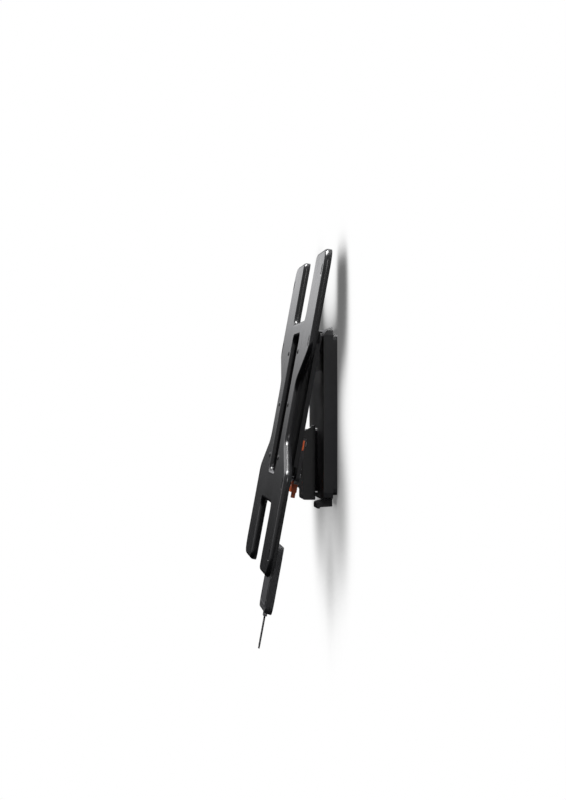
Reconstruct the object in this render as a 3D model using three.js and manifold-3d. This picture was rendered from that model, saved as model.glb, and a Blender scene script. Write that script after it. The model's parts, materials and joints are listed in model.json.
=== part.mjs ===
// Full motion TV wall mount, folded against the wall, with its top leaning to the wall.
// Millimetres. +Z is up, +Y goes into the wall and +X is the side with no folded arm.
// The origin is on the wall face, at the middle of the mount.
import * as THREE from 'three';
import { mergeVertices } from 'three/addons/utils/BufferGeometryUtils.js';
import Module from 'manifold-3d';

const wasm = await Module();
wasm.setup();

// ---- Driving dimensions ----
const CLEAR = 0.3; // gap left between touching pieces
const SIDES = 20; // sides of a round part
const FEW_SIDES = 16; // sides of a small round part
const LARGEST_CORNER = 0.45; // most of a side that one rounded corner takes
const BEYOND = 150; // how far a cutting shape runs past what it cuts

// wall part
const COVER_HALF = 100;
const COVER_TOP = 123;
const COVER_BOTTOM = -127;
const COVER_DEPTH = 20;
const COVER_SKIN = 2.5;
const COVER_FILLET = 17;
const FRAME_DEPTH = 6;
const FRAME_TOP = 113;
const FRAME_BOTTOM = -119;
const FRAME_HALF = 97.5;
const PLATE_HALF = 88;
const PLATE_RISE = 105;
const PLATE_THICK = 3;
const PLATE_CORNER = 8;
const LEAD_WINDOW = [-45, 45, 10, 70]; // x from, x to, z from, z to
const WALL_SCREW_X = 70;
const WALL_SCREW_Z = 88;
const WALL_HOLE_R = 4;
const WALL_SCREW_R = 3.5;
const WALL_HEAD_R = 6;
const WALL_HEAD_Y = -10.2;
const WALL_WASHER_R = 8;
const WASHER_THICK = 1.5;
const BRACKET_HALF = 22;
const BRACKET_THICK = 3;
const TAB_FROM = 38;
const TAB_TO = 78;

// arms
const ARM_LENGTH = 260; // shoulder to elbow, and elbow to head
const SHOULDER_Y = -15.5;
const HEAD_Y = -32.5;
const ELBOW_Y = (SHOULDER_Y + HEAD_Y) / 2;
const ARM_TOP = -32;
const ARM_BOTTOM = -112;
const ARM_HALF_THICK = 4.75;
const BARREL_R = 8;
const BORE_R = 6;
const BUSH_R = 5.7;
const BUSH_HOLE_R = 4.3;
const PIN_R = 4;
const PIN_HEAD_R = 6.2;
const PIN_HEAD = 2.2;
const BUSH_HEIGHT = 12;
const BUSH_INSET = 1; // from the end of a barrel to its bush
const KNUCKLE = 24; // height of each outer elbow knuckle
const KNUCKLE_ROOM = 1.5; // round a knuckle, where the other arm turns past it
const ARM_RAIL = 14; // solid edge above and below the windows of an arm
const ARM_CORNER = 7;
const CABLE_COVER = 5.5;
const CABLE_INSET = 24;
const ELBOW_CAP = 3;
const EAR = 4; // thickness of a bracket ear

// head
const TILT_Y = -47;
const TILT_Z = -66;
const LEAN = 10.5; // degrees the head leans back at rest
const YOKE_NEAR = 30;
const YOKE_FAR = -22.8;
const YOKE_FRONT = -43.5;
const YOKE_BACK = -24.5;
const YOKE_BOTTOM = -129;
const YOKE_TOP = -27;
const LUG_R = 6;
const LUG_IN = 15;
const LUG_OUT = 22.8;
const TILT_EAR_IN = 24.4;
const TILT_EAR_OUT = 26.7;
const TILT_PIN_R = 3;
const TILT_WASHER_R = 5.4;
const TILT_WASHER = 1;
const TILT_NUT_R = 5.6;
const TILT_NUT = 4;
const CHEEK = 2.8;
const YOKE_SKIN = 2.2;

// leaning parts, in the leaning frame whose origin is on the tilt axis
const HEAD_BACK = -7.5;
const HEAD_FRONT = -10;
const HEAD_TOP = 181;
const HEAD_BOTTOM = -35;
const HEAD_HALF = 100;
const TONGUE_BOTTOM = -72;
const TONGUE_HALF = 13;
const HEAD_CORNER = 12;
const HEAD_FOLD = 2;
const HEAD_WINDOW_HALF = 38;
const HEAD_WINDOWS = [[32, 92], [112, 160]]; // z from, z to
const HEAD_WINDOW_CORNER = 10;
const SPRING_STOP = 2.5;
const SLIDER_BACK = -5;
const SLIDER_FRONT = -7.2;
const SLIDER_LOW = -52;
const SLIDER_BAR_TOP = -44;
const SLIDER_WING = [43, 95]; // x from, x to
const SLIDER_LEG = [44, 56];
const SPRING_TURNS = 4;
const SPRING_R = 2.95;
const WIRE_R = 0.5;
const HOUSING_IN = 40;
const HOUSING_OUT = 98;
const HOUSING_TOP = 28;
const HOUSING_BACK = -2.2;
const HOUSING_SKIN = 2;
const LOCK_X = 50;
const HOOK_X = 72;
const LOCK_BAR_Y = -14;
const LOCK_BAR_Z = -20;
const LOCK_BAR_R = 2.2;
const HOOK_HALF = 3;
const ROD_Y = -9;
const ROD_R = 2;
const STRAP_Y = -6;
const HANDLE_TOP = -133;
const HANDLE_BOTTOM = -235;
const HANDLE_HALF = 50;
const HANDLE_FRONT = -12.3;
const HANDLE_BACK = -0.7;
const HANDLE_BEVEL = 9;
const STRAP_BOTTOM = -290;
const STRAP_HALF = 6;
const STRAP_HALF_THICK = 0.8;
const CLIP_HALF = 9;
const CLIP_HEIGHT = 6;

// screen plate
const PLATE_CENTRE = 62;
const WEB_FRONT = -35.4;
const WEB = 2;
const FLANGE = 10;
const SCREEN_HALF = 216;
const SCREEN_RISE = 231;
const WING_INNER = 88;
const BRIDGE = 135;
const WAIST_HALF = 120;
const WAIST_LOW = 42;
const WAIST_HIGH = 86;
const TIP_CORNER = 30;
const SCREEN_CORNER = 14;
const SLOT_X = 200;
const SLOT_Z = [-200, -100, 100, 200];
const SLOT_HALF_WIDE = 4.25;
const SLOT_HALF_TALL = 8.5;
const WINDOW_HALF = 50;
const WINDOW_UP = 113;
const WINDOW_DOWN = 89;
const WINDOW_CORNER = 12;
const BRACKET_SIDE = 7; // from the middle of a hook bracket to its outer face
const BRACKET_LOW = -28;

// ---- Shape helpers ----
function toSolid(geometry) {
  const plain = geometry.clone();
  plain.deleteAttribute('normal');
  plain.deleteAttribute('uv');
  const merged = mergeVertices(plain, 1e-4);
  return new wasm.Manifold(new wasm.Mesh({
    numProp: 3,
    vertProperties: new Float32Array(merged.attributes.position.array),
    triVerts: new Uint32Array(merged.index.array),
  }));
}

function toGeometry(solid) {
  const mesh = solid.getMesh();
  const geometry = new THREE.BufferGeometry();
  geometry.setAttribute('position', new THREE.BufferAttribute(mesh.vertProperties, 3));
  geometry.setIndex(new THREE.BufferAttribute(mesh.triVerts, 1));
  geometry.computeVertexNormals();
  return geometry;
}

function block(x0, x1, y0, y1, z0, z1) {
  const box = new THREE.BoxGeometry(x1 - x0, y1 - y0, z1 - z0);
  box.translate((x0 + x1) / 2, (y0 + y1) / 2, (z0 + z1) / 2);
  return toSolid(box);
}

// a round rod along 'x', 'y' or 'z', from start to end, with its centre line at (a, b)
function rod(axis, radius, a, b, start, end, sides = SIDES) {
  const shape = new THREE.CylinderGeometry(radius, radius, end - start, sides);
  const middle = (start + end) / 2;
  if (axis === 'z') shape.rotateX(Math.PI / 2).translate(a, b, middle);
  if (axis === 'x') shape.rotateZ(Math.PI / 2).translate(middle, a, b);
  if (axis === 'y') shape.translate(a, middle, b);
  return toSolid(shape);
}

// an outline pushed along an axis: (y, z) along x, (x, z) along y, (x, y) along z
function prism(axis, outline, start, end, curveSegments = 3) {
  const shape = outline instanceof THREE.Shape ? outline : new THREE.Shape(
    outline.map(([a, b]) => new THREE.Vector2(a, b)));
  const solid = new THREE.ExtrudeGeometry(shape, {
    depth: end - start, bevelEnabled: false, curveSegments,
  });
  const turn = new THREE.Matrix4();
  const X = new THREE.Vector3(1, 0, 0);
  const Y = new THREE.Vector3(0, 1, 0);
  const Z = new THREE.Vector3(0, 0, 1);
  if (axis === 'x') turn.makeBasis(Y, Z, X).setPosition(start, 0, 0);
  if (axis === 'y') turn.makeBasis(X, Z, Y.negate()).setPosition(0, end, 0);
  if (axis === 'z') turn.makeTranslation(0, 0, start);
  return toSolid(solid.applyMatrix4(turn));
}

// a closed outline whose corners are rounded; each point may carry its own radius,
// and no corner takes up more than a share of either side
function rounded(points, radius) {
  const shape = new THREE.Shape();
  points.forEach(([a, b, own], i) => {
    const corner = new THREE.Vector2(a, b);
    const before = new THREE.Vector2(...points[(i + points.length - 1) % points.length]);
    const after = new THREE.Vector2(...points[(i + 1) % points.length]);
    const shorter = Math.min(before.distanceTo(corner), after.distanceTo(corner));
    const reach = Math.min(own ?? radius, shorter * LARGEST_CORNER);
    const enter = corner.clone().add(before.sub(corner).setLength(reach));
    const leave = corner.clone().add(after.sub(corner).setLength(reach));
    if (i === 0) shape.moveTo(enter.x, enter.y);
    else shape.lineTo(enter.x, enter.y);
    shape.quadraticCurveTo(a, b, leave.x, leave.y);
  });
  shape.closePath();
  return shape;
}

function roundedBox(x0, x1, z0, z1, radius) {
  return rounded([[x0, z0], [x1, z0], [x1, z1], [x0, z1]], radius);
}

// the outline moved inwards by a distance, for an outline drawn counter-clockwise
function inset(points, distance) {
  return points.map(([a, b], i) => {
    const here = new THREE.Vector2(a, b);
    const before = new THREE.Vector2(...points[(i + points.length - 1) % points.length]);
    const after = new THREE.Vector2(...points[(i + 1) % points.length]);
    const into = here.clone().sub(before).normalize();
    const out = after.sub(here).normalize();
    const normalIn = new THREE.Vector2(-into.y, into.x);
    const normalOut = new THREE.Vector2(-out.y, out.x);
    const bisector = normalIn.clone().add(normalOut).normalize();
    const moved = here.add(bisector.multiplyScalar(distance / bisector.dot(normalIn)));
    return [moved.x, moved.y];
  });
}

function join(...solids) {
  return solids.reduce((whole, next) => whole.add(next));
}

function cut(solid, ...tools) {
  return tools.reduce((left, tool) => left.subtract(tool), solid);
}

// ---- Materials ----
const LOOKS = {
  black_steel: [0x191a1c, 0.55, 0.4],
  bright_steel: [0xb4b6b8, 0.35, 1],
  black_cast: [0x111214, 0.32, 0.5],
  matte_plastic: [0x1c1d1f, 0.6, 0],
  gloss_plastic: [0x0c0c0e, 0.18, 0],
  grey_plastic: [0x3a3b3e, 0.5, 0],
  orange_plastic: [0xd0481c, 0.45, 0],
  bush_plastic: [0xd8d6cc, 0.6, 0],
  webbing: [0x202022, 0.85, 0],
};

const mount = new THREE.Group();
const leaning = new THREE.Group();
leaning.position.set(0, TILT_Y, TILT_Z);
leaning.rotation.x = THREE.MathUtils.degToRad(-LEAN);
mount.add(leaning);

function add(group, name, look, solid) {
  const [color, roughness, metalness] = LOOKS[look];
  const material = new THREE.MeshStandardMaterial({ color, roughness, metalness });
  const mesh = new THREE.Mesh(toGeometry(solid), material);
  mesh.name = name;
  group.add(mesh);
}

// ---- Wall part ----
function wallPlate() {
  const sheet = prism('y', roundedBox(-PLATE_HALF, PLATE_HALF, -PLATE_RISE, PLATE_RISE,
    PLATE_CORNER), -PLATE_THICK, 0);
  const holes = [];
  for (const x of [-WALL_SCREW_X, WALL_SCREW_X]) {
    for (const z of [-WALL_SCREW_Z, WALL_SCREW_Z]) {
      holes.push(rod('y', WALL_HOLE_R, x, z, -BEYOND, BEYOND, FEW_SIDES));
    }
  }
  const window = prism('y', roundedBox(...LEAD_WINDOW, PLATE_CORNER), -BEYOND, BEYOND);
  return cut(sheet, window, ...holes);
}

function rearFrame() {
  const outer = prism('y', roundedBox(-FRAME_HALF, FRAME_HALF, FRAME_BOTTOM, FRAME_TOP, 9),
    -FRAME_DEPTH, 0);
  const opening = prism('y', roundedBox(-PLATE_HALF - CLEAR, PLATE_HALF + CLEAR,
    -PLATE_RISE - CLEAR, PLATE_RISE + CLEAR, PLATE_CORNER), -BEYOND, BEYOND);
  const bracketSeat = block(-BRACKET_HALF - CLEAR, BRACKET_HALF + CLEAR, -BEYOND, -PLATE_THICK,
    FRAME_BOTTOM - 1, 0);
  return cut(outer, opening, bracketSeat);
}

function coverSection(skin) {
  const front = -COVER_DEPTH + skin;
  const top = COVER_TOP - skin;
  const bottom = COVER_BOTTOM + skin;
  const back = skin ? 5 : -FRAME_DEPTH - CLEAR;
  const fillet = COVER_FILLET - skin;
  const shape = new THREE.Shape();
  shape.moveTo(back, bottom + 2.5);
  shape.lineTo(front + 3, bottom);
  shape.quadraticCurveTo(front, bottom, front, bottom + 3);
  shape.lineTo(front, top - fillet);
  shape.absarc(front + fillet, top - fillet, fillet, Math.PI, Math.PI * 0.62, true);
  shape.lineTo(back, top);
  shape.closePath();
  return prism('x', shape, -COVER_HALF + skin, COVER_HALF - skin);
}

function wallCover() {
  const outline = roundedBox(-COVER_HALF, COVER_HALF, COVER_BOTTOM, COVER_TOP, 12);
  const outer = coverSection(0).intersect(prism('y', outline, -COVER_DEPTH, 0));
  const armWindow = prism('y', rounded([[-110, -121], [17, -121, 4], [17, -24, 8],
    [-110, -24]], 1), -COVER_DEPTH - 5, 5);
  return cut(outer, coverSection(COVER_SKIN), armWindow);
}

function bottomTab() {
  const side = rounded([[-28, -139, 3], [-23, -139, 1], [-23, -137, 1], [-5, -136, 1],
    [-5, -127.6 + 2.5, 0.5], [-18, -127.6, 0.5], [-28, -130, 3]], 1);
  return prism('x', side, TAB_FROM, TAB_TO);
}

function shoulderBracket() {
  const base = prism('y', roundedBox(-BRACKET_HALF, BRACKET_HALF, FRAME_BOTTOM, -25, 3),
    -PLATE_THICK - CLEAR - BRACKET_THICK, -PLATE_THICK - CLEAR);
  const ears = [ARM_TOP + CLEAR, ARM_BOTTOM - CLEAR - EAR].map((z) => join(
    block(-BARREL_R, BARREL_R, SHOULDER_Y, -PLATE_THICK - CLEAR, z, z + EAR),
    rod('z', BARREL_R, 0, SHOULDER_Y, z, z + EAR)));
  return cut(join(base, ...ears),
    rod('z', PIN_R + CLEAR, 0, SHOULDER_Y, -BEYOND, 0));
}

// a hinge pin with a flat head above its top ear
function hingePin(x, y, top, bottom) {
  return join(rod('z', PIN_R, x, y, bottom, top), rod('z', PIN_HEAD_R, x, y, top, top + PIN_HEAD));
}

function wallScrew(x, z) {
  const seat = -PLATE_THICK - CLEAR;
  const washer = rod('y', WALL_WASHER_R, x, z, seat - WASHER_THICK, seat);
  const head = rod('y', WALL_HEAD_R, x, z, WALL_HEAD_Y, seat - 1, 6);
  const shank = rod('y', WALL_SCREW_R, x, z, seat - 1, 0, FEW_SIDES);
  return join(washer, head, shank);
}

// ---- Arms ----
function barrelBush(x, y, low) {
  return cut(rod('z', BUSH_R, x, y, low, low + BUSH_HEIGHT),
    rod('z', BUSH_HOLE_R, x, y, -BEYOND, 0));
}

function barrel(x, y, low, high) {
  return rod('z', BARREL_R, x, y, low, high);
}

function boredThrough(solid, x, y) {
  return cut(solid, rod('z', BORE_R, x, y, -BEYOND, 0));
}

// two long windows with a sloping rib between them, through the flat of an arm
function armWindows(y) {
  const low = ARM_BOTTOM + ARM_RAIL;
  const high = ARM_TOP - ARM_RAIL;
  const through = [y - BEYOND, y + BEYOND];
  return [
    prism('y', rounded([[-225, low], [-150, low], [-125, high], [-225, high]], ARM_CORNER),
      ...through),
    prism('y', rounded([[-132, low], [-28, low], [-28, high], [-107, high]], ARM_CORNER),
      ...through),
  ];
}

function baseArm() {
  const flat = block(-ARM_LENGTH, 0, SHOULDER_Y - ARM_HALF_THICK, SHOULDER_Y + ARM_HALF_THICK,
    ARM_BOTTOM, ARM_TOP);
  const knuckles = [ARM_TOP - KNUCKLE, ARM_BOTTOM].map(
    (z) => barrel(-ARM_LENGTH, ELBOW_Y, z, z + KNUCKLE));
  const middle = rod('z', BARREL_R + KNUCKLE_ROOM, -ARM_LENGTH, ELBOW_Y,
    ARM_BOTTOM + KNUCKLE, ARM_TOP - KNUCKLE);
  const body = join(cut(flat, ...armWindows(SHOULDER_Y), middle),
    barrel(0, SHOULDER_Y, ARM_BOTTOM, ARM_TOP), ...knuckles);
  const elbowBore = rod('z', PIN_R + CLEAR, -ARM_LENGTH, ELBOW_Y, -BEYOND, 0);
  return cut(boredThrough(body, 0, SHOULDER_Y), elbowBore);
}

function forearm() {
  const flat = block(-ARM_LENGTH, 0, HEAD_Y - ARM_HALF_THICK, HEAD_Y + ARM_HALF_THICK,
    ARM_BOTTOM, ARM_TOP);
  const outer = [ARM_TOP - KNUCKLE - CLEAR, ARM_BOTTOM - 1].map(
    (z) => rod('z', BARREL_R + KNUCKLE_ROOM, -ARM_LENGTH, ELBOW_Y, z, z + KNUCKLE + 1 + CLEAR));
  const body = join(cut(flat, ...armWindows(HEAD_Y), ...outer),
    barrel(0, HEAD_Y, ARM_BOTTOM, ARM_TOP),
    barrel(-ARM_LENGTH, ELBOW_Y, ARM_BOTTOM + KNUCKLE + CLEAR, ARM_TOP - KNUCKLE - CLEAR));
  return boredThrough(boredThrough(body, 0, HEAD_Y), -ARM_LENGTH, ELBOW_Y);
}

// a clip-on channel along the bottom edge of an arm, that holds the TV's leads
function cableCover(y) {
  const high = ARM_BOTTOM - CLEAR;
  const low = high - CABLE_COVER;
  const side = rounded([[y - ARM_HALF_THICK, high, 0.5], [y - ARM_HALF_THICK, low, 3],
    [y + ARM_HALF_THICK, low, 3], [y + ARM_HALF_THICK, high, 0.5]], 1);
  return prism('x', side, -ARM_LENGTH + CABLE_INSET, -CABLE_INSET);
}

function elbowCap(start) {
  return rod('z', BARREL_R, -ARM_LENGTH, ELBOW_Y, start, start + ELBOW_CAP);
}

// ---- Head ----
function headYoke() {
  const cheekSide = rounded([[YOKE_BACK, YOKE_BOTTOM, 2], [YOKE_BACK, -18, 1],
    [YOKE_FRONT + 1.5, -28.5, 2], [YOKE_FRONT, -32, 2], [YOKE_FRONT, YOKE_BOTTOM, 7]], 2);
  const cheek = prism('x', cheekSide, YOKE_NEAR - CHEEK, YOKE_NEAR);
  const front = block(YOKE_FAR, YOKE_NEAR - 1, YOKE_FRONT, YOKE_FRONT + YOKE_SKIN,
    YOKE_BOTTOM + 4, YOKE_TOP);
  const floor = prism('x', rounded([[YOKE_BACK, YOKE_BOTTOM, 1], [YOKE_BACK, YOKE_BOTTOM + 2.5, 1],
    [YOKE_FRONT + 1, YOKE_BOTTOM + 8, 1], [YOKE_FRONT, YOKE_BOTTOM + 8, 1],
    [YOKE_FRONT, YOKE_BOTTOM, 6.5]], 1), YOKE_FAR, YOKE_NEAR - 1);
  const ears = [ARM_TOP + CLEAR, ARM_BOTTOM - CLEAR - EAR].map((z) => join(
    block(-BARREL_R, BARREL_R, YOKE_FRONT + 1, HEAD_Y, z, z + EAR),
    rod('z', BARREL_R, 0, HEAD_Y, z, z + EAR)));
  const lugs = [[LUG_IN, LUG_OUT], [-LUG_OUT, -LUG_IN]].map(([x0, x1]) => join(
    block(x0, x1, TILT_Y, YOKE_FRONT + YOKE_SKIN, TILT_Z - LUG_R, TILT_Z + LUG_R),
    rod('x', LUG_R, TILT_Y, TILT_Z, x0, x1)));
  const earNotch = block(LUG_OUT, YOKE_NEAR - CHEEK, YOKE_FRONT - 2, YOKE_FRONT + 4,
    TILT_Z - 11, TILT_Z + 11);
  return cut(join(cheek, cut(front, earNotch), floor, ...ears, ...lugs),
    rod('z', PIN_R + CLEAR, 0, HEAD_Y, YOKE_BOTTOM + 7, 0),
    rod('x', TILT_PIN_R + CLEAR, TILT_Y, TILT_Z, -BEYOND, LUG_OUT + 1),
    block(-BEYOND, YOKE_NEAR - CHEEK, YOKE_FRONT + YOKE_SKIN + 0.1, YOKE_BACK + 5,
      TILT_Z - 20, TILT_Z + 20));
}

function tiltWasher(x0) {
  return cut(rod('x', TILT_WASHER_R, TILT_Y, TILT_Z, x0, x0 + TILT_WASHER),
    rod('x', TILT_PIN_R + CLEAR, TILT_Y, TILT_Z, -BEYOND, BEYOND));
}

function tiltPin() {
  return rod('x', TILT_PIN_R, TILT_Y, TILT_Z, -TILT_EAR_OUT - TILT_NUT, TILT_EAR_OUT + CLEAR,
    FEW_SIDES);
}

// the screw-down nut that sets how stiff the tilt is
function tiltNut() {
  const inner = -TILT_EAR_OUT - CLEAR;
  return cut(rod('x', TILT_NUT_R, TILT_Y, TILT_Z, inner - TILT_NUT, inner, 6),
    rod('x', TILT_PIN_R + CLEAR, TILT_Y, TILT_Z, -BEYOND, 0, FEW_SIDES));
}

// ---- Leaning parts ----
function headPlate() {
  const outline = rounded([
    [-HEAD_HALF, HEAD_BOTTOM + HEAD_CORNER, 8], [-HEAD_HALF + HEAD_CORNER, HEAD_BOTTOM, 8],
    [-TONGUE_HALF - 2, HEAD_BOTTOM, 4], [-TONGUE_HALF, TONGUE_BOTTOM, 2],
    [TONGUE_HALF, TONGUE_BOTTOM, 2], [TONGUE_HALF + 2, HEAD_BOTTOM, 4],
    [HEAD_HALF - HEAD_CORNER, HEAD_BOTTOM, 8], [HEAD_HALF, HEAD_BOTTOM + HEAD_CORNER, 8],
    [HEAD_HALF, HEAD_TOP, 10], [-HEAD_HALF, HEAD_TOP, 10]], 4);
  const sheet = prism('y', outline, HEAD_FRONT, HEAD_BACK);
  const openings = HEAD_WINDOWS.map(([low, high]) => prism('y', roundedBox(-HEAD_WINDOW_HALF,
    HEAD_WINDOW_HALF, low, high, HEAD_WINDOW_CORNER), -BEYOND, 0));
  openings.push(block(-9.3, 9.3, -BEYOND, 0, TONGUE_BOTTOM + SPRING_STOP, HEAD_BOTTOM - 4));
  for (const side of [-1, 1]) {
    const x = side * LOCK_X;
    openings.push(block(x - 5, x + 5, -BEYOND, 0, HEAD_BOTTOM - 1, -21));
  }
  const sides = [-HEAD_HALF, HEAD_HALF - HEAD_FOLD].map(
    (x) => block(x, x + HEAD_FOLD, HEAD_FRONT - 4, HEAD_FRONT + 1, HEAD_BOTTOM + 20, HEAD_TOP - 16));
  const ears = [TILT_EAR_IN, -TILT_EAR_OUT].map((x) => join(
    block(x, x + TILT_EAR_OUT - TILT_EAR_IN, HEAD_BACK - 1, 0, -LUG_R, LUG_R),
    rod('x', LUG_R, 0, 0, x, x + TILT_EAR_OUT - TILT_EAR_IN)));
  const stop = block(-TONGUE_HALF, TONGUE_HALF, ROD_Y - 3.6, ROD_Y + 3.6,
    TONGUE_BOTTOM, TONGUE_BOTTOM + SPRING_STOP);
  return cut(join(cut(sheet, ...openings), ...sides, ...ears, stop),
    rod('x', TILT_PIN_R + CLEAR, 0, 0, -BEYOND, BEYOND, FEW_SIDES),
    rod('z', ROD_R + CLEAR, 0, ROD_Y, TONGUE_BOTTOM - 2, TONGUE_BOTTOM + 5, FEW_SIDES));
}

// a plastic cap on the back of the head plate that guides one side of the lock slider
function lockHousing(side) {
  const [x0, x1] = [side * HOUSING_IN, side * HOUSING_OUT].sort((a, b) => a - b);
  const shell = prism('y', roundedBox(x0, x1, HEAD_BOTTOM + 1, HOUSING_TOP, 4),
    HEAD_BACK + CLEAR, HOUSING_BACK);
  const channel = block(x0 + HOUSING_SKIN, x1 - HOUSING_SKIN, HEAD_BACK - 1,
    HOUSING_BACK - 2.2, HEAD_BOTTOM - 1, HOUSING_TOP - HOUSING_SKIN);
  return cut(shell, channel);
}

function lockSlider() {
  const pieces = [
    block(-SLIDER_LEG[1], SLIDER_LEG[1], SLIDER_FRONT, SLIDER_BACK, SLIDER_LOW, SLIDER_BAR_TOP),
    block(-8, 8, ROD_Y - 2.5, SLIDER_BACK, SLIDER_LOW, SLIDER_BAR_TOP),
  ];
  for (const side of [-1, 1]) {
    const wing = SLIDER_WING.map((x) => side * x).sort((a, b) => a - b);
    const leg = SLIDER_LEG.map((x) => side * x).sort((a, b) => a - b);
    pieces.push(block(...wing, SLIDER_FRONT, SLIDER_BACK, 15, 24));
    pieces.push(block(...leg, SLIDER_FRONT, SLIDER_BACK, SLIDER_LOW, 18));
    pieces.push(block(...leg, SLIDER_FRONT, 1.3, SLIDER_LOW, -40));
    pieces.push(block(leg[0] + 2, leg[1] - 2, SLIDER_BACK, 0.6, -60, -50));
  }
  return join(...pieces);
}

// a steel hook that reaches through the head plate and holds the lock bar
function latchHook(side) {
  const x = side * LOCK_X;
  const outline = [[SLIDER_FRONT - CLEAR, -34], [-20, -34], [-20, -18.5], [-17.5, -17],
    [-17.5, -30], [SLIDER_FRONT - CLEAR, -30]];
  return prism('x', outline, x - HOOK_HALF, x + HOOK_HALF);
}

class Helix extends THREE.Curve {
  constructor(radius, turns, low, high) {
    super();
    Object.assign(this, { radius, turns, low, high });
  }

  getPoint(t) {
    const angle = t * this.turns * 2 * Math.PI;
    return new THREE.Vector3(this.radius * Math.cos(angle), this.radius * Math.sin(angle),
      this.low + t * (this.high - this.low));
  }
}

function lockSpring() {
  const wire = new THREE.Shape().absarc(0, 0, WIRE_R, 0, 2 * Math.PI);
  const coil = new Helix(SPRING_R, SPRING_TURNS,
    TONGUE_BOTTOM + SPRING_STOP + CLEAR * 2 + WIRE_R, SLIDER_LOW - CLEAR * 2 - WIRE_R);
  const geometry = new THREE.ExtrudeGeometry(wire, {
    steps: SPRING_TURNS * 10, extrudePath: coil, curveSegments: 2,
  });
  geometry.translate(0, ROD_Y, 0);
  return toSolid(geometry);
}

function releaseRod() {
  return rod('z', ROD_R, 0, ROD_Y, HANDLE_TOP - 8, SLIDER_LOW - CLEAR, FEW_SIDES);
}

function releaseHandle() {
  const side = rounded([[HANDLE_FRONT, HANDLE_BOTTOM + 2, 3], [HANDLE_BACK, HANDLE_BOTTOM, 2],
    [HANDLE_BACK, HANDLE_TOP, 2], [HANDLE_FRONT, HANDLE_TOP - 4, 4]], 2);
  const front = rounded([[-HANDLE_HALF + HANDLE_BEVEL, HANDLE_BOTTOM],
    [HANDLE_HALF - HANDLE_BEVEL, HANDLE_BOTTOM], [HANDLE_HALF, HANDLE_BOTTOM + HANDLE_BEVEL],
    [HANDLE_HALF, HANDLE_TOP, 8], [-HANDLE_HALF, HANDLE_TOP, 8],
    [-HANDLE_HALF, HANDLE_BOTTOM + HANDLE_BEVEL]], 3);
  const outer = prism('x', side, -HANDLE_HALF, HANDLE_HALF).intersect(prism('y', front, -20, 5));
  return cut(outer, rod('z', ROD_R + CLEAR, 0, ROD_Y, HANDLE_TOP - 9, HANDLE_TOP + 5,
    FEW_SIDES));
}

function strapClip() {
  const low = HANDLE_BOTTOM - CLIP_HEIGHT;
  const outline = rounded([[-CLIP_HALF, low, 2], [CLIP_HALF, low, 2],
    [CLIP_HALF, HANDLE_BOTTOM - CLEAR], [-CLIP_HALF, HANDLE_BOTTOM - CLEAR]], 1);
  const halfWide = STRAP_HALF + CLEAR + 0.1;
  return cut(prism('y', outline, STRAP_Y - 2.5, STRAP_Y + 2.5),
    block(-halfWide, halfWide, STRAP_Y - STRAP_HALF_THICK - CLEAR,
      STRAP_Y + STRAP_HALF_THICK + CLEAR, low - 1, HANDLE_BOTTOM - 2.5));
}

function pullStrap() {
  const outline = rounded([[-STRAP_HALF, STRAP_BOTTOM, 3], [STRAP_HALF, STRAP_BOTTOM, 3],
    [STRAP_HALF, HANDLE_BOTTOM - 3], [-STRAP_HALF, HANDLE_BOTTOM - 3]], 0.5);
  return prism('y', outline, STRAP_Y - STRAP_HALF_THICK, STRAP_Y + STRAP_HALF_THICK);
}

// ---- Screen plate ----
// An H with a waist, drawn counter-clockwise round its centre
function screenOutline() {
  const quarter = [
    [WAIST_HALF, WAIST_LOW], [SCREEN_HALF, WAIST_HIGH], [SCREEN_HALF, SCREEN_RISE, TIP_CORNER],
    [WING_INNER, SCREEN_RISE], [WING_INNER, BRIDGE],
  ];
  const mirror = (points, a, b) => points.map(([x, z, own]) => [x * a, z * b, own]);
  return [
    ...mirror(quarter, 1, -1).reverse(), ...quarter,
    ...mirror(quarter, -1, 1).reverse(), ...mirror(quarter, -1, -1),
  ];
}

function screenPlate() {
  const outline = screenOutline();
  const raise = (points) => points.map(([x, z, own]) => [x, z + PLATE_CENTRE, own]);
  const inner = inset(outline, WEB).map(([x, z], i) => [x, z, outline[i][2] && TIP_CORNER - WEB]);
  const back = WEB_FRONT + FLANGE;
  const smooth = 5;
  const tray = cut(
    prism('y', rounded(raise(outline), SCREEN_CORNER), WEB_FRONT, back, smooth),
    prism('y', rounded(raise(inner), SCREEN_CORNER - WEB), WEB_FRONT + WEB, back + 5, smooth));
  const [low, high] = [PLATE_CENTRE - WINDOW_DOWN, PLATE_CENTRE + WINDOW_UP];
  const rim = prism('y', roundedBox(-WINDOW_HALF - WEB, WINDOW_HALF + WEB, low - WEB, high + WEB,
    WINDOW_CORNER + WEB), WEB_FRONT + 1, back);
  const holes = [prism('y', roundedBox(-WINDOW_HALF, WINDOW_HALF, low, high, WINDOW_CORNER),
    -BEYOND, 0)];
  for (const x of [-SLOT_X, SLOT_X]) {
    for (const z of SLOT_Z) {
      const middle = z + PLATE_CENTRE;
      holes.push(prism('y', roundedBox(x - SLOT_HALF_WIDE, x + SLOT_HALF_WIDE,
        middle - SLOT_HALF_TALL, middle + SLOT_HALF_TALL, 4), -BEYOND, 0));
    }
  }
  return cut(join(tray, rim), ...holes);
}

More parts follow.
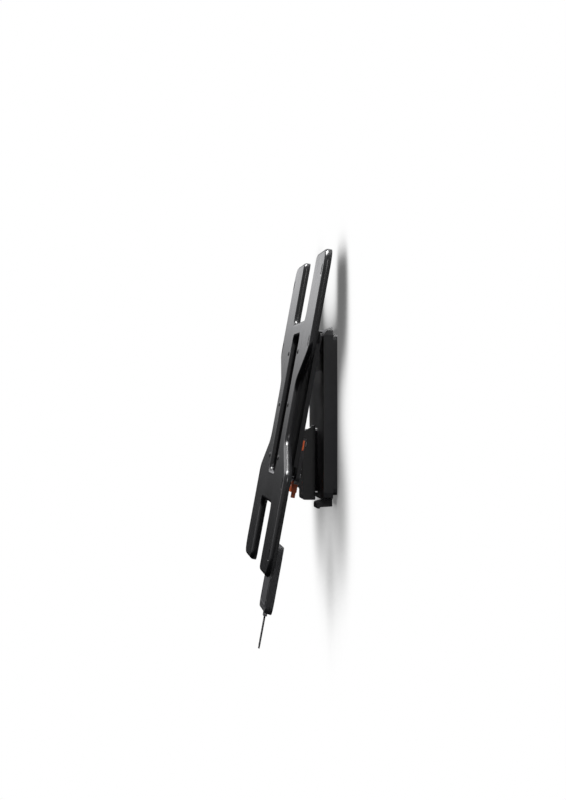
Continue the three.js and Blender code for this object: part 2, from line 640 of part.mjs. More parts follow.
// a folded steel channel that hooks over the top of the head plate
function hookBracket(side) {
  const centre = side * HOOK_X;
  const back = HEAD_FRONT - CLEAR;
  const front = WEB_FRONT + WEB + CLEAR;
  const top = HEAD_TOP + 3;
  const hook = [[front, BRACKET_LOW], [back, BRACKET_LOW], [back, HEAD_TOP + CLEAR],
    [HEAD_BACK + CLEAR, HEAD_TOP + CLEAR], [HEAD_BACK + CLEAR, HEAD_TOP - 8],
    [HEAD_BACK + 1.8, HEAD_TOP - 8], [HEAD_BACK + 1.8, top], [front, top]];
  const [left, right] = [centre - BRACKET_SIDE, centre + BRACKET_SIDE];
  return join(prism('x', hook, left, left + WEB), prism('x', hook, right - WEB, right),
    block(left, right, front, front + WEB, BRACKET_LOW, top));
}

function lockBar() {
  const reach = HOOK_X - BRACKET_SIDE - CLEAR;
  return rod('x', LOCK_BAR_R, LOCK_BAR_Y, LOCK_BAR_Z, -reach, reach, FEW_SIDES);
}

// ---- Assembly ----
add(mount, 'wall_plate', 'black_steel', wallPlate());
add(mount, 'rear_frame', 'matte_plastic', rearFrame());
add(mount, 'wall_cover', 'matte_plastic', wallCover());
add(mount, 'cover_release_tab', 'matte_plastic', bottomTab());
add(mount, 'shoulder_bracket', 'black_steel', shoulderBracket());
const pinTop = ARM_TOP + CLEAR * 2 + EAR;
const pinBottom = ARM_BOTTOM - CLEAR - EAR - 1;
add(mount, 'shoulder_pin', 'bright_steel', hingePin(0, SHOULDER_Y, pinTop, pinBottom));
let count = 0;
for (const x of [-WALL_SCREW_X, WALL_SCREW_X]) {
  for (const z of [-WALL_SCREW_Z, WALL_SCREW_Z]) {
    count += 1;
    add(mount, `wall_screw_${count}`, 'bright_steel', wallScrew(x, z));
  }
}

add(mount, 'base_arm', 'black_cast', baseArm());
add(mount, 'base_cable_cover', 'matte_plastic', cableCover(SHOULDER_Y));
add(mount, 'forearm', 'black_cast', forearm());
add(mount, 'forearm_cable_cover', 'matte_plastic', cableCover(HEAD_Y));
const bushes = [
  ['shoulder', 0, SHOULDER_Y, 0],
  ['elbow', -ARM_LENGTH, ELBOW_Y, KNUCKLE],
  ['head', 0, HEAD_Y, 0],
];
for (const [name, x, y, above] of bushes) {
  const low = ARM_BOTTOM + above + BUSH_INSET;
  const high = ARM_TOP - above - BUSH_INSET - BUSH_HEIGHT;
  add(mount, `${name}_bush_lower`, 'bush_plastic', barrelBush(x, y, low));
  add(mount, `${name}_bush_upper`, 'bush_plastic', barrelBush(x, y, high));
}
add(mount, 'elbow_pin', 'bright_steel',
  rod('z', PIN_R, -ARM_LENGTH, ELBOW_Y, ARM_BOTTOM, ARM_TOP));
add(mount, 'elbow_cap_lower', 'gloss_plastic', elbowCap(ARM_BOTTOM - CLEAR - ELBOW_CAP));
add(mount, 'elbow_cap_upper', 'gloss_plastic', elbowCap(ARM_TOP + CLEAR));

add(mount, 'head_yoke', 'gloss_plastic', headYoke());
add(mount, 'head_pin', 'bright_steel', hingePin(0, HEAD_Y, pinTop, pinBottom));
add(mount, 'tilt_pin', 'bright_steel', tiltPin());
add(mount, 'tilt_nut', 'bright_steel', tiltNut());
add(mount, 'tilt_washer_near', 'bush_plastic', tiltWasher(LUG_OUT + CLEAR));
add(mount, 'tilt_washer_far', 'bush_plastic', tiltWasher(-LUG_OUT - CLEAR - TILT_WASHER));

add(leaning, 'head_plate', 'black_steel', headPlate());
add(leaning, 'lock_housing_near', 'matte_plastic', lockHousing(1));
add(leaning, 'lock_housing_far', 'matte_plastic', lockHousing(-1));
add(leaning, 'lock_spring', 'bright_steel', lockSpring());
add(leaning, 'lock_slider', 'orange_plastic', lockSlider());
add(leaning, 'latch_hook_near', 'bright_steel', latchHook(1));
add(leaning, 'latch_hook_far', 'bright_steel', latchHook(-1));
add(leaning, 'release_rod', 'bright_steel', releaseRod());
add(leaning, 'release_handle', 'grey_plastic', releaseHandle());
add(leaning, 'strap_clip', 'bright_steel', strapClip());
add(leaning, 'pull_strap', 'webbing', pullStrap());

add(leaning, 'screen_plate', 'black_steel', screenPlate());
add(leaning, 'hook_bracket_near', 'black_steel', hookBracket(1));
add(leaning, 'hook_bracket_far', 'black_steel', hookBracket(-1));
add(leaning, 'lock_bar', 'bright_steel', lockBar());

export default mount;
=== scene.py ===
"""Looks for a full motion TV wall mount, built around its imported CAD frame."""
import json
import math

import bmesh
import bpy
from mathutils import Matrix, Vector


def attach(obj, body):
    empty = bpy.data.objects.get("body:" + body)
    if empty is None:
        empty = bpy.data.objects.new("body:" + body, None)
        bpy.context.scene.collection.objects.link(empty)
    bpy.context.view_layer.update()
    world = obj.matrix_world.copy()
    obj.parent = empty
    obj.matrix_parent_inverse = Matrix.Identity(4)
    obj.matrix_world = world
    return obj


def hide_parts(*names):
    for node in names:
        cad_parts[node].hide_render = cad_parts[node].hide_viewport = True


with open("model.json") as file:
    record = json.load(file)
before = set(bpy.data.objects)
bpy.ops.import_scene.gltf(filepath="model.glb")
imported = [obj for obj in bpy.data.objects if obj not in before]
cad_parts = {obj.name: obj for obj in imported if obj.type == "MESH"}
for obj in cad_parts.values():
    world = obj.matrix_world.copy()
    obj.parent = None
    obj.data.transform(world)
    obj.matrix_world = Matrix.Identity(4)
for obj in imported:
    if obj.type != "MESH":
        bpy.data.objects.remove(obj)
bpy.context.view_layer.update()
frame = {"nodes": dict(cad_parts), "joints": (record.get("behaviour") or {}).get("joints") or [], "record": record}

MM = 0.001
SIDES = (-1, 1)
FRONT = (0, -1, 0)
BACK = (0, 1, 0)
UP = (0, 0, 1)
DOWN = (0, 0, -1)


# ---- Places in millimetres, read from the frame where a node's box gives them ----
def joint_place(name):
    return next(Vector(joint["pos_m"]) for joint in frame["joints"] if joint["name"] == name)


# the leaning parts' own frame has its origin on the tilt axis
LEANING = Matrix.Translation(joint_place("tilt")) @ Matrix.Rotation(math.radians(-10.5), 4, "X")
UPRIGHT = Matrix.Identity(4)


def cad_box(name, place=UPRIGHT):
    """(lowest corner, highest corner) of a CAD node at rest, as seen from a place."""
    piece = frame["nodes"][name]
    seen = place.inverted() @ piece.matrix_world
    points = [seen @ vertex.co / MM for vertex in piece.data.vertices]
    return [[round(pick(p[axis] for p in points), 2) for axis in range(3)] for pick in (min, max)]


(_, WEB_FRONT, SHEET_LOW), (_, FLANGE_END, SHEET_HIGH) = cad_box("screen_plate", LEANING)
WEB = 2
WEB_BACK = WEB_FRONT + WEB
PLATE_CENTRE = (SHEET_LOW + SHEET_HIGH) / 2
HEAD_FRONT = -10
HOUSING_SIDE, HOUSING_BACK, _ = cad_box("lock_housing_near", LEANING)[1]
SLIDER_BACK = cad_box("lock_slider", LEANING)[1][1]
HANDLE_FRONT, HANDLE_BACK = [corner[1] for corner in cad_box("release_handle", LEANING)]
STRAP_FRONT, STRAP_BACK = [corner[1] for corner in cad_box("pull_strap", LEANING)]

# most slabs are sunk this far, or two or three times as far, into the face they stand on
SUNK = 0.1


# ---- Materials ----
def node(owner, kind, **values):
    """A new shader node in a material or world; each keyword is one of its inputs or settings."""
    made = owner.node_tree.nodes.new(kind)
    for key, value in values.items():
        if key in made.inputs:
            made.inputs[key].default_value = value
        else:
            setattr(made, key, value)
    return made


def link(owner, out, into):
    owner.node_tree.links.new(out, into)


def ramp(owner, first, *between, last):
    """A colour ramp through (place, colour) stops."""
    made = node(owner, "ShaderNodeValToRGB")
    stops = made.color_ramp.elements
    stops[0].position, stops[0].color = first
    stops[1].position, stops[1].color = last
    for place, colour in between:
        stops.new(place).color = colour
    return made


def scaled(colour, by):
    return (*[channel * by for channel in colour], 1)


def shader_of(material):
    return material.node_tree.nodes["Principled BSDF"]


def new_material(name, colour, roughness, metallic=0.0, coat=0.0, specular=0.5):
    material = bpy.data.materials.new(name)
    material.use_nodes = True
    inputs = shader_of(material).inputs
    inputs["Base Color"].default_value = scaled(colour, 1)
    inputs["Roughness"].default_value = roughness
    inputs["Metallic"].default_value = metallic
    inputs["Coat Weight"].default_value = coat
    inputs["Coat Roughness"].default_value = 0.12
    inputs["Specular IOR Level"].default_value = specular
    return material


def object_position(material, stretch=(1, 1, 1)):
    place = node(material, "ShaderNodeTexCoord")
    mapping = node(material, "ShaderNodeMapping", Scale=stretch)
    link(material, place.outputs["Object"], mapping.inputs["Vector"])
    return mapping.outputs["Vector"]


def grain(material, scale, depth, stretch=(1, 1, 1)):
    """Fine bump from noise, as a powder coat or a moulded texture has."""
    noise = node(material, "ShaderNodeTexNoise", Scale=scale, Detail=4.0, Roughness=0.6)
    link(material, object_position(material, stretch), noise.inputs["Vector"])
    bump = node(material, "ShaderNodeBump", Strength=0.5, Distance=depth)
    link(material, noise.outputs["Fac"], bump.inputs["Height"])
    link(material, bump.outputs["Normal"], shader_of(material).inputs["Normal"])


def vary(material, colour, spread, rough_low, rough_high, scale=18.0):
    """Slow changes in colour and gloss, as handling and moulding leave."""
    noise = node(material, "ShaderNodeTexNoise", Scale=scale, Detail=6.0, Roughness=0.65)
    link(material, object_position(material), noise.inputs["Vector"])
    tones = ramp(material, (0.3, scaled(colour, 1 - spread)), last=(0.75, scaled(colour, 1 + spread)))
    link(material, noise.outputs["Fac"], tones.inputs["Fac"])
    link(material, tones.outputs["Color"], shader_of(material).inputs["Base Color"])
    gloss = node(material, "ShaderNodeMapRange", **{"To Min": rough_low, "To Max": rough_high})
    link(material, noise.outputs["Fac"], gloss.inputs["Value"])
    link(material, gloss.outputs["Result"], shader_of(material).inputs["Roughness"])


def painted(name, colour, rough_low, rough_high, grain_scale, depth):
    material = new_material(name, colour, rough_low)
    grain(material, grain_scale, depth)
    vary(material, colour, 0.25, rough_low, rough_high)
    return material


def moulded(name, colour, rough_low, rough_high, grain_scale=1400.0, depth=0.00008, coat=0.0):
    material = new_material(name, colour, rough_low, coat=coat)
    grain(material, grain_scale, depth)
    vary(material, colour, 0.18, rough_low, rough_high)
    return material


def steel(name, colour):
    """Bare metal, with a grain nine times finer along Z than across it."""
    material = new_material(name, colour, 0.3, metallic=1.0)
    grain(material, 500.0, 0.00003, stretch=(1, 1, 9))
    vary(material, colour, 0.12, 0.24, 0.42, scale=60.0)
    return material


def woven(name, colour):
    """Webbing: bands of weft crossed by warp."""
    material = new_material(name, colour, 0.85, specular=0.3)
    place = object_position(material)
    cross = node(material, "ShaderNodeMath", operation="MAXIMUM")
    for i, (direction, scale) in enumerate((("Z", 420.0), ("X", 300.0))):
        wave = node(material, "ShaderNodeTexWave", bands_direction=direction, Scale=scale)
        link(material, place, wave.inputs["Vector"])
        link(material, wave.outputs["Fac"], cross.inputs[i])
    bump = node(material, "ShaderNodeBump", Strength=0.8, Distance=0.0003)
    link(material, cross.outputs["Value"], bump.inputs["Height"])
    tones = ramp(material, (0, scaled(colour, 0.5)), last=(1, scaled(colour, 1.6)))
    link(material, cross.outputs["Value"], tones.inputs["Fac"])
    inputs = shader_of(material).inputs
    link(material, bump.outputs["Normal"], inputs["Normal"])
    link(material, tones.outputs["Color"], inputs["Base Color"])
    inputs["Sheen Weight"].default_value = 0.3
    return material


LOOKS = {
    "black_steel": painted("black_powder_coat", (0.009, 0.009, 0.01), 0.17, 0.28, 900.0, 0.00005),
    "bright_steel": steel("zinc_steel", (0.55, 0.55, 0.56)),
    "black_cast": painted("black_cast_paint", (0.012, 0.012, 0.014), 0.26, 0.4, 500.0, 0.0001),
    "matte_plastic": moulded("matte_black_plastic", (0.018, 0.018, 0.02), 0.32, 0.44),
    "gloss_plastic": moulded("gloss_black_plastic", (0.006, 0.006, 0.007), 0.1, 0.2,
                             grain_scale=200.0, depth=0.00002, coat=0.6),
    "grey_plastic": moulded("dark_grey_plastic", (0.05, 0.05, 0.054), 0.38, 0.52),
    "orange_plastic": moulded("orange_plastic", (0.8, 0.14, 0.035), 0.35, 0.5),
    "bush_plastic": moulded("acetal", (0.55, 0.54, 0.5), 0.4, 0.55),
    "webbing": woven("webbing", (0.02, 0.02, 0.022)),
}


# ---- Edges that catch the light, widths in millimetres ----
EDGE = 0.5
SOFT_EDGES = {"wall_cover": 2.4, "head_yoke": 1.2, "release_handle": 1.2, "cover_release_tab": 1.0}
SHEET_EDGE = 0.35
SHEET_PARTS = ("screen_plate", "head_plate", "hook_bracket_near", "hook_bracket_far")


def soften(piece, width, segments, angle):
    edge = piece.modifiers.new("edge", "BEVEL")
    edge.width = width * MM
    edge.segments = segments
    edge.limit_method = "ANGLE"
    edge.angle_limit = math.radians(angle)
    edge.harden_normals = True


def dress_frame():
    """Every CAD node gets its slot's finish and small bevels."""
    slots = {row["node"]: row["material_slot"] for row in frame["record"]["subparts"]}
    for name, piece in frame["nodes"].items():
        piece.data.materials.clear()
        piece.data.materials.append(LOOKS[slots[name]])
        width = SHEET_EDGE if name in SHEET_PARTS else SOFT_EDGES.get(name, EDGE)
        soften(piece, width, 4 if name in SOFT_EDGES else 2, 40)


# ---- Making pieces ----
def finish_piece(name, mesh, body, slot, bevel=0.0, smooth=True):
    piece = bpy.data.objects.new(name, mesh)
    bpy.context.scene.collection.objects.link(piece)
    mesh.materials.append(LOOKS[slot])
    if smooth:
        for face in mesh.polygons:
            face.use_smooth = True
    if bevel:
        soften(piece, bevel, 3, 35)
    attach(piece, body)
    return piece


def to_mesh(name, bm):
    mesh = bpy.data.meshes.new(name)
    bm.to_mesh(mesh)
    bm.free()
    return mesh


def from_bmesh(name, bm, body, slot, bevel=0.0, smooth=True):
    bmesh.ops.recalc_face_normals(bm, faces=bm.faces)
    return finish_piece(name, to_mesh(name, bm), body, slot, bevel, smooth)


def ring_of(bm, points, place):
    return [bm.verts.new(place @ (Vector(point) * MM)) for point in points]


def band(bm, low, high):
    """Faces between two rings of points; a ring of one point is a tip."""
    count = max(len(low), len(high))
    for i in range(count):
        j = (i + 1) % count
        if len(low) == 1:
            bm.faces.new((low[0], high[i], high[j]))
        elif len(high) == 1:
            bm.faces.new((low[i], low[j], high[0]))
        else:
            bm.faces.new((low[i], low[j], high[j], high[i]))


def extruded(bm, outline, near, far, place):
    """A closed slab: an outline in (x, z), pushed from y=near to y=far."""
    front, back = [ring_of(bm, [(x, y, z) for x, z in outline], place) for y in (near, far)]
    bm.faces.new(front)
    bm.faces.new(back[::-1])
    band(bm, back, front)


def rounded_outline(x0, x1, z0, z1, radius, steps=4):
    points = []
    corners = ((x1, z1, 0), (x0, z1, 90), (x0, z0, 180), (x1, z0, 270))
    for x, z, start in corners:
        centre_x = x - radius if x == x1 else x + radius
        centre_z = z - radius if z == z1 else z + radius
        for i in range(steps + 1):
            angle = math.radians(start + 90 * i / steps)
            points.append((centre_x + radius * math.cos(angle), centre_z + radius * math.sin(angle)))
    return points


def upright(x, half, low, high):
    """A slab's (x0, x1, z0, z1), centred on x."""
    return (x - half, x + half, low, high)


def slabs(name, boxes, near, far, radius, place, body, slot, bevel):
    """Several rounded slabs from y=near to y=far, each (x0, x1, z0, z1), as one piece."""
    bm = bmesh.new()
    for box in boxes:
        extruded(bm, rounded_outline(*box, radius), near, far, place)
    return from_bmesh(name, bm, body, slot, bevel, smooth=False)


def lathe(bm, profile, place, sides):
    """A turned shape round the local Z axis from (radius, height) points."""
    turns = [2 * math.pi * i / sides for i in range(sides)]
    rings = []
    for radius, height in profile:
        points = [(radius * math.cos(turn), radius * math.sin(turn), height) for turn in turns]
        rings.append(ring_of(bm, points if radius else points[:1], place))
    for low, high in zip(rings, rings[1:]):
        band(bm, low, high)


def facing(x, y, z, direction, place=UPRIGHT):
    """Where a turned shape stands, with its local Z along a direction."""
    turn = Vector(direction).to_track_quat("Z", "Y").to_matrix().to_4x4()
    return place @ Matrix.Translation(Vector((x, y, z)) * MM) @ turn


def dome(radius, height):
    return [(0, 0), (radius, 0), (radius * 0.98, height * 0.35), (radius * 0.8, height * 0.75),
            (radius * 0.45, height * 0.97), (0, height)]


def socket_head(radius, height, socket, depth):
    return [(0, 0), (radius, 0), (radius, height * 0.75), (radius * 0.88, height),
            (socket, height), (socket, height - depth), (0, height - depth)]


def turned(name, profile, places, body, slot, sides=28):
    bm = bmesh.new()
    for place in places:
        lathe(bm, profile, place, sides)
    return from_bmesh(name, bm, body, slot, bevel=0.12)


# ---- Camera, lights and stage, in metres and watts ----
CAMERA_AT = (2.789, -0.3156, 0.025)
CAMERA_TURN = math.radians(5.04)
CAMERA_DIP = math.radians(0.15)
CAMERA_SEES = 50
LENS, SENSOR = 85.0, 36.0  # millimetres

# name, place, aim, (width, height), power
LIGHTS = (
    ("key", (0.9, -1.6, 1.5), (0, 0, 0), (1.2, 1.2), 2),
    ("side", (1.6, -0.1, 0.9), (0, -0.05, 0), (0.4, 0.9), 6),
    ("rim", (-1.4, -0.9, 0.9), (0, -0.05, 0), (0.8, 1.2), 3),
    ("behind", (0.8, 1.7, 0.7), (0, 0, 0), (1.4, 1.4), 14),
    ("top", (-0.35, -0.05, 1.5), (0, -0.05, 0), (1.7, 0.9), 95),
)

# Surroundings in reflections: colours at shares of the way from SKY_FROM to SKY_TO,
# where a direction's height is -1 straight down, 0 at the horizon and 1 straight up.
SKY_FROM, SKY_TO = -0.25, 0.75
SKY_LOW = (0.14, (0.003, 0.003, 0.004, 1))
SKY_BAND = [(at, (level, level, level * 1.02, 1))
            for at, level in ((0.25, 0.04), (0.31, 0.4), (0.35, 1.1), (0.42, 0.35))]
SKY_HIGH = (1.0, (0.3, 0.3, 0.31, 1))

WALL_BEHIND = 0.0006  # how far the wall stands behind the mount's back
WALL_FAR, WALL_NEAR = -30, 2.3
WALL_HALF = 8
SHADOW_REACH = 0.19


def make_camera():
    camera = bpy.data.objects.new("camera", bpy.data.cameras.new("camera"))
    bpy.context.scene.collection.objects.link(camera)
    camera.data.lens = LENS
    camera.data.sensor_width = SENSOR
    camera.data.clip_end = CAMERA_SEES
    camera.location = CAMERA_AT
    forward = Vector((-math.cos(CAMERA_TURN), math.sin(CAMERA_TURN), -math.sin(CAMERA_DIP)))
    camera.rotation_euler = forward.to_track_quat("-Z", "Y").to_euler()
    bpy.context.scene.camera = camera
    bpy.context.scene.view_settings.view_transform = "Standard"


def make_lights():
    for name, place, aim, size, power in LIGHTS:
        light = bpy.data.lights.new(name, "AREA")
        light.shape = "RECTANGLE"
        light.size, light.size_y = size
        light.energy = power
        lamp = bpy.data.objects.new(name, light)
        lamp.location = place
        lamp.rotation_euler = (Vector(aim) - Vector(place)).to_track_quat("-Z", "Y").to_euler()
        bpy.context.scene.collection.objects.link(lamp)


def make_world():
    """White where the camera looks past the mount, and in reflections dark below the horizon
    with a bright band just above it."""
    world = bpy.data.worlds.new("studio")
    bpy.context.scene.world = world
    world.use_nodes = True
    place = node(world, "ShaderNodeTexCoord")
    parts = node(world, "ShaderNodeSeparateXYZ")
    link(world, place.outputs["Generated"], parts.inputs[0])
    height = node(world, "ShaderNodeMapRange", **{"From Min": SKY_FROM, "From Max": SKY_TO})
    link(world, parts.outputs["Z"], height.inputs["Value"])
    sky = ramp(world, SKY_LOW, *SKY_BAND, last=SKY_HIGH)
    link(world, height.outputs["Result"], sky.inputs["Fac"])
    lit = world.node_tree.nodes["Background"]
    link(world, sky.outputs["Color"], lit.inputs["Color"])
    path = node(world, "ShaderNodeLightPath")
    seen = node(world, "ShaderNodeBackground", Color=(1, 1, 1, 1))
    mix = node(world, "ShaderNodeMixShader")
    link(world, path.outputs["Is Camera Ray"], mix.inputs[0])
    link(world, lit.outputs[0], mix.inputs[1])
    link(world, seen.outputs[0], mix.inputs[2])
    link(world, mix.outputs[0], world.node_tree.nodes["World Output"].inputs["Surface"])


def plaster():
    """A white wall that glows for the camera, with a soft shadow painted into its glow close to the mount, and is
    clear from behind.
    """
    material = new_material("plaster", (0.5, 0.5, 0.5), 0.9, specular=0.0)
    # painted shadow: occlusion within SHADOW_REACH of the mount darkens the wall's glow, which only the camera
    # sees
    near = node(material, "ShaderNodeAmbientOcclusion", samples=16, Distance=SHADOW_REACH)
    painted_shadow = ramp(material, (0.2, (0.16, 0.16, 0.16, 1)), last=(0.9, (1, 1, 1, 1)))
    link(material, near.outputs["AO"], painted_shadow.inputs["Fac"])
    shadowed_glow = node(material, "ShaderNodeEmission")
    link(material, painted_shadow.outputs["Color"], shadowed_glow.inputs["Color"])
    path = node(material, "ShaderNodeLightPath")
    seen = node(material, "ShaderNodeMixShader")
    link(material, path.outputs["Is Camera Ray"], seen.inputs[0])
    link(material, shader_of(material).outputs[0], seen.inputs[1])
    link(material, shadowed_glow.outputs[0], seen.inputs[2])
    shape = node(material, "ShaderNodeNewGeometry")
    clear = node(material, "ShaderNodeBsdfTransparent")
    side = node(material, "ShaderNodeMixShader")
    link(material, shape.outputs["Backfacing"], side.inputs[0])
    link(material, seen.outputs[0], side.inputs[1])
    link(material, clear.outputs[0], side.inputs[2])
    link(material, side.outputs[0], material.node_tree.nodes["Material Output"].inputs["Surface"])
    return material


def make_wall():
    bm = bmesh.new()
    corners = ((WALL_FAR, -1), (WALL_NEAR, -1), (WALL_NEAR, 1), (WALL_FAR, 1))
    bm.faces.new([bm.verts.new((x, WALL_BEHIND, up * WALL_HALF)) for x, up in corners])
    mesh = to_mesh("wall", bm)
    mesh.materials.append(plaster())
    panel = bpy.data.objects.new("wall", mesh)
    bpy.context.scene.collection.objects.link(panel)
    panel.visible_shadow = False


# ---- Screen plate ----
BEND = 5.5
BEND_STEPS = 8
# a quarter of the outline, from the waist round a wing to the bridge between two wings;
# each corner is (x, z from the plate's centre, reach of its rounding)
SCREEN_QUARTER = ((120, 42, 14), (216, 86, 14), (216, 231, 30), (88, 231, 14), (88, 135, 14))
# each corner of the window is (x, z in the leaning frame, reach of its rounding)
WINDOW = ((-50, -27, 12), (50, -27, 12), (50, 175, 12), (-50, 175, 12))
SLOT_HALF_WIDTH, SLOT_HALF_HEIGHT, SLOT_CORNER = 4.25, 8.5, 4
SLOTS = [(side * 200, rise + PLATE_CENTRE) for side in SIDES for rise in (-200, -100, 100, 200)]
PUNCH_FROM, PUNCH_TO = WEB_FRONT - 20, WEB_FRONT + 40
FLAT_WITHIN = math.radians(2)

RIVET_REACH, RIVET_HEIGHTS = 72, (-6, 72, 150)
WING_RIB_REACHES = (120, 160)
WING_RIB_SPANS = [(PLATE_CENTRE + 124, PLATE_CENTRE + 206), (PLATE_CENTRE - 206, PLATE_CENTRE - 124)]
CROSS_RIBS = ((-72, 72, -60, -55), (-60, 60, 183, 188))


def soft_corners(points, steps=8):
    """The outline with each corner turned into a curve of the reach it carries."""
    outline = []
    for i, (x, z, own) in enumerate(points):
        here = Vector((x, z))
        before = Vector(points[i - 1][:2]) - here
        after = Vector(points[(i + 1) % len(points)][:2]) - here
        reach = min(own, 0.45 * min(before.length, after.length))
        enter = here + before.normalized() * reach
        leave = here + after.normalized() * reach
        for k in range(steps + 1):
            s = k / steps
            outline.append(enter * (1 - s) ** 2 + here * (2 * s * (1 - s)) + leave * s ** 2)
    return outline


def moved_in(outline, distance):
    """Each point of a counter-clockwise outline moved to its left by a distance."""
    result = []
    for i, here in enumerate(outline):
        along = (outline[(i + 1) % len(outline)] - outline[i - 1]).normalized()
        result.append(here + Vector((-along.y, along.x)) * distance)
    return result


def quarter(across, up):
    return [(x * across, PLATE_CENTRE + z * up, own) for x, z, own in SCREEN_QUARTER]


def sheet_outline():
    """The whole outline, counter-clockwise, from the quarter mirrored both ways."""
    return soft_corners(quarter(1, -1)[::-1] + quarter(1, 1) + quarter(-1, 1)[::-1] + quarter(-1, -1))


def bend_profile():
    """(inset, y) from the web's front, round to the flange's end, and inside to the web's back."""
    outer = [(0, FLANGE_END)]
    inner = [(WEB, FLANGE_END)]
    inner_bend = BEND - WEB
    for k in range(BEND_STEPS + 1):
        angle = math.pi / 2 * k / BEND_STEPS
        over, under = 1 - math.cos(angle), math.sin(angle)
        outer.append((BEND * over, WEB_FRONT + BEND - BEND * under))
        inner.append((WEB + inner_bend * over, WEB_FRONT + BEND - inner_bend * under))
    return outer[::-1] + inner


def bent_edge(bm, outline, inward):
    """The bend and flange along an outline, with the sheet inside it (1) or outside it (-1)."""
    rings = [ring_of(bm, [(p.x, y, p.y) for p in moved_in(outline, inward * inset)], LEANING)
             for inset, y in bend_profile()]
    for low, high in zip(rings, rings[1:]):
        band(bm, low, high)
    return rings


def sheet_blank():
    """The sheet before its openings are cut: a web with its edge bent into flanges."""
    bm = bmesh.new()
    rings = bent_edge(bm, sheet_outline(), 1)
    bm.faces.new(rings[0])
    bm.faces.new(rings[-1][::-1])
    bmesh.ops.recalc_face_normals(bm, faces=bm.faces)
    return to_mesh("sheet_blank", bm)


def sheet_punch(window):
    """What is cut out of the sheet: the window with room for its bent rim, and the slots."""
    bm = bmesh.new()
    outlines = [[(p.x, p.y) for p in moved_in(window, -BEND)]]
    for x, z in SLOTS:
        outlines.append(rounded_outline(x - SLOT_HALF_WIDTH, x + SLOT_HALF_WIDTH,
                                        z - SLOT_HALF_HEIGHT, z + SLOT_HALF_HEIGHT, SLOT_CORNER))
    for outline in outlines:
        extruded(bm, outline, PUNCH_FROM, PUNCH_TO, LEANING)
    bmesh.ops.recalc_face_normals(bm, faces=bm.faces)
    return to_mesh("sheet_punch", bm)


def without(blank_mesh, punch_mesh):
    """The first mesh with the second cut out of it."""
    blank, punch = [bpy.data.objects.new(mesh.name, mesh) for mesh in (blank_mesh, punch_mesh)]
    for piece in (blank, punch):
        bpy.context.scene.collection.objects.link(piece)
    cut = blank.modifiers.new("cut", "BOOLEAN")
    cut.object = punch
    cut.operation = "DIFFERENCE"
    cut.solver = "EXACT"
    graph = bpy.context.evaluated_depsgraph_get()
    left = bpy.data.meshes.new_from_object(blank.evaluated_get(graph))
    for piece in (blank, punch):
        bpy.data.objects.remove(piece)
    return left


def formed_plate():
    """The folded sheet, with soft bends into its flanges, slots and a rimmed window."""
    window = soft_corners(WINDOW)
    bm = bmesh.new()
    bm.from_mesh(without(sheet_blank(), sheet_punch(window)))
    rings = bent_edge(bm, window, -1)
    band(bm, rings[-1], rings[0])
    rim = {vertex for ring in rings for vertex in ring}
    bmesh.ops.recalc_face_normals(bm, faces=[face for face in bm.faces if face.verts[0] in rim])
    front = LEANING.to_3x3() @ Vector(FRONT)
    for face in bm.faces:
        face.smooth = abs(face.normal.dot(front)) < math.cos(FLAT_WITHIN)
    mesh = to_mesh("screen_plate_formed", bm)
    mesh.materials.clear()
    plate = finish_piece("screen_plate_formed", mesh, "screen", "black_steel", smooth=False)
    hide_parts("screen_plate")


def screen_details():
    rivets = [facing(side * RIVET_REACH, WEB_FRONT, z, FRONT, LEANING)
              for side in SIDES for z in RIVET_HEIGHTS]
    turned("screen_rivets", dome(3.6, 1.3), rivets, "screen", "black_steel")
    ribs = [upright(side * x, 3, low, high)
            for side in SIDES for low, high in WING_RIB_SPANS for x in WING_RIB_REACHES]
    slabs("screen_ribs", ribs, WEB_BACK - 2 * SUNK, WEB_BACK + 1.4, 2.9, LEANING,
          "screen", "black_steel", bevel=0.7)
    slabs("screen_cross_ribs", CROSS_RIBS, WEB_BACK - 2 * SUNK, WEB_BACK + 1.6, 2.4, LEANING,
          "screen", "black_steel", bevel=0.7)


# ---- Head plate and lock ----
HEAD_RIB_REACH = 92
HOUSING_SCREWS = ((64, 20), (90, 20), (90, -26))
HOUSING_RIB_REACHES = (68, 72, 76, 80)
INDICATOR_THICK = 0.9
INDICATOR_LOW, INDICATOR_HIGH = 11, 25
SLIDER_RIDGE_REACH = 50
SLIDER_RIDGE_LOW, SLIDER_RIDGE_PITCH, SLIDER_RIDGES = -50.5, 2.7, 4


def head_details():
    ribs = [upright(side * HEAD_RIB_REACH, 2, 0, 160) for side in SIDES]
    slabs("head_ribs", ribs, HEAD_FRONT - 1.2, HEAD_FRONT + 2 * SUNK, 1.9, LEANING,
          "tilt_head", "black_steel", bevel=0.5)
    screws = [facing(side * x, HOUSING_BACK, z, BACK, LEANING)
              for side in SIDES for x, z in HOUSING_SCREWS]
    turned("housing_screws", socket_head(3.2, 1.4, 1.4, 1.1), screws,
           "tilt_head", "bright_steel", sides=20)
    ribs = [upright(side * x, 0.9, -20, 6) for side in SIDES for x in HOUSING_RIB_REACHES]
    slabs("housing_ribs", ribs, HOUSING_BACK - SUNK, HOUSING_BACK + 0.8, 0.8, LEANING,
          "tilt_head", "matte_plastic", bevel=0.25)


def lock_details():
    bm = bmesh.new()
    for side in SIDES:
        x0, x1 = sorted((side * HOUSING_SIDE, side * (HOUSING_SIDE + INDICATOR_THICK)))
        outline = [(x0, INDICATOR_LOW), (x1, INDICATOR_LOW), (x1, INDICATOR_HIGH), (x0, INDICATOR_HIGH)]
        extruded(bm, outline, HOUSING_BACK - 4.4, HOUSING_BACK - 2.2, LEANING)
    from_bmesh("lock_indicators", bm, "release", "orange_plastic", bevel=0.2, smooth=False)
    lows = [SLIDER_RIDGE_LOW + SLIDER_RIDGE_PITCH * row for row in range(SLIDER_RIDGES)]
    ridges = [upright(side * SLIDER_RIDGE_REACH, 4.5, low, low + 1.2) for side in SIDES for low in lows]
    slabs("slider_ridges", ridges, SLIDER_BACK - SUNK, SLIDER_BACK + 0.6, 0.5, LEANING,
          "release", "orange_plastic", bevel=0.2)


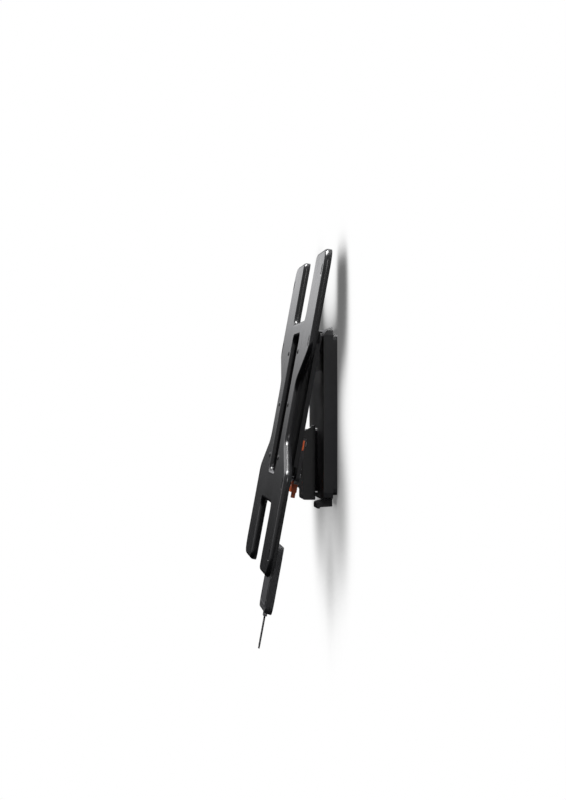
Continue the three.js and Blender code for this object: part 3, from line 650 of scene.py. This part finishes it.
# ---- Handle and strap ----
RIM_HALF, RIM_LOW, RIM_HIGH = 44, -224, -146
RIM_WIDTH = 2.5
GRIP_HALF, GRIP_LOW, GRIP_HIGH, GRIP_PITCH = 34, -212, -156, 8
STITCH_ROWS = (-4.4, 4.4)
STITCH_TOP, STITCH_PITCH, STITCH_LENGTH, STITCHES = -243, 2.7, 1.7, 16


def handle_rim(name, near, far):
    """A raised frame on a face of the handle."""
    bm = bmesh.new()
    outlines = [rounded_outline(inset - RIM_HALF, RIM_HALF - inset, RIM_LOW + inset, RIM_HIGH - inset,
                                corner, steps=6) for inset, corner in ((0, 6), (RIM_WIDTH, 4))]
    outer, inner = [[ring_of(bm, [(x, y, z) for x, z in outline], LEANING) for y in (near, far)]
                    for outline in outlines]
    for low, high in ((outer[0], outer[1]), (outer[1], inner[1]), (inner[1], inner[0]),
                      (inner[0], outer[0])):
        band(bm, low, high)
    from_bmesh(name, bm, "release", "grey_plastic", bevel=0.3)


def handle_details():
    handle_rim("handle_rim_back", HANDLE_BACK - 2 * SUNK, HANDLE_BACK + 0.8)
    handle_rim("handle_rim_front", HANDLE_FRONT - 0.8, HANDLE_FRONT + 2 * SUNK)
    grip = [(-GRIP_HALF, GRIP_HALF, z, z + 3) for z in range(GRIP_LOW, GRIP_HIGH, GRIP_PITCH)]
    slabs("handle_grip_back", grip, HANDLE_BACK - 3 * SUNK, HANDLE_BACK + 0.9, 1.4, LEANING,
          "release", "matte_plastic", bevel=0.4)


def strap_details():
    """Two rows of stitches on each face of the strap."""
    tops = [STITCH_TOP - STITCH_PITCH * i for i in range(STITCHES)]
    stitches = [upright(row, 0.3, top - STITCH_LENGTH, top) for row in STITCH_ROWS for top in tops]
    for face, near, far in (("front", STRAP_FRONT - 0.25, STRAP_FRONT + SUNK),
                            ("back", STRAP_BACK - SUNK, STRAP_BACK + 0.25)):
        slabs(f"strap_stitches_{face}", stitches, near, far, 0.25, LEANING,
              "release", "webbing", bevel=0.08)


# ---- Hinges, arms and wall cover ----
FOREARM_RIBS = (-238, -18)
CABLE_CLIPS = (-200, -140, -80)
RIDGE_REACH, RIDGE_PITCH = 72, 12
RIDGE_LOW, RIDGE_HIGH = 60, 92


def elbow_screws():
    x, y, _ = joint_place("elbow_hinge") / MM
    top = cad_box("elbow_cap_upper")[1][2]
    bottom = cad_box("elbow_cap_lower")[0][2]
    places = [facing(x, y, top, UP), facing(x, y, bottom, DOWN)]
    turned("elbow_screws", socket_head(5.6, 1.8, 2.6, 1.4), places, "base_arm", "bright_steel")


def arm_details():
    """Ribs across the forearm's web, and clips that hold its cable cover."""
    (_, _, low), (_, _, high) = cad_box("forearm")
    front = cad_box("forearm_cable_cover")[0][1]
    ribs = [upright(x, 1, low + 2, high - 2) for x in FOREARM_RIBS]
    slabs("forearm_ribs", ribs, front - 0.75, front + 0.25, 0.9, UPRIGHT,
          "forearm", "black_cast", bevel=0.3)
    clips = [upright(x, 5, low - 6.2, low + 2) for x in CABLE_CLIPS]
    slabs("cable_clips", clips, front - 0.85, front + 0.05, 2, UPRIGHT,
          "forearm", "matte_plastic", bevel=0.3)


def cover_details():
    front = cad_box("wall_cover")[0][1]
    ridges = [upright(x, 1, RIDGE_LOW, RIDGE_HIGH)
              for x in range(-RIDGE_REACH, RIDGE_REACH + 1, RIDGE_PITCH)]
    slabs("cover_ridges", ridges, front - 0.5, front + 2 * SUNK, 0.9, UPRIGHT,
          "wall", "matte_plastic", bevel=0.25)


make_camera()
make_lights()
make_world()
make_wall()
dress_frame()
formed_plate()
screen_details()
head_details()
lock_details()
handle_details()
strap_details()
elbow_screws()
arm_details()
cover_details()
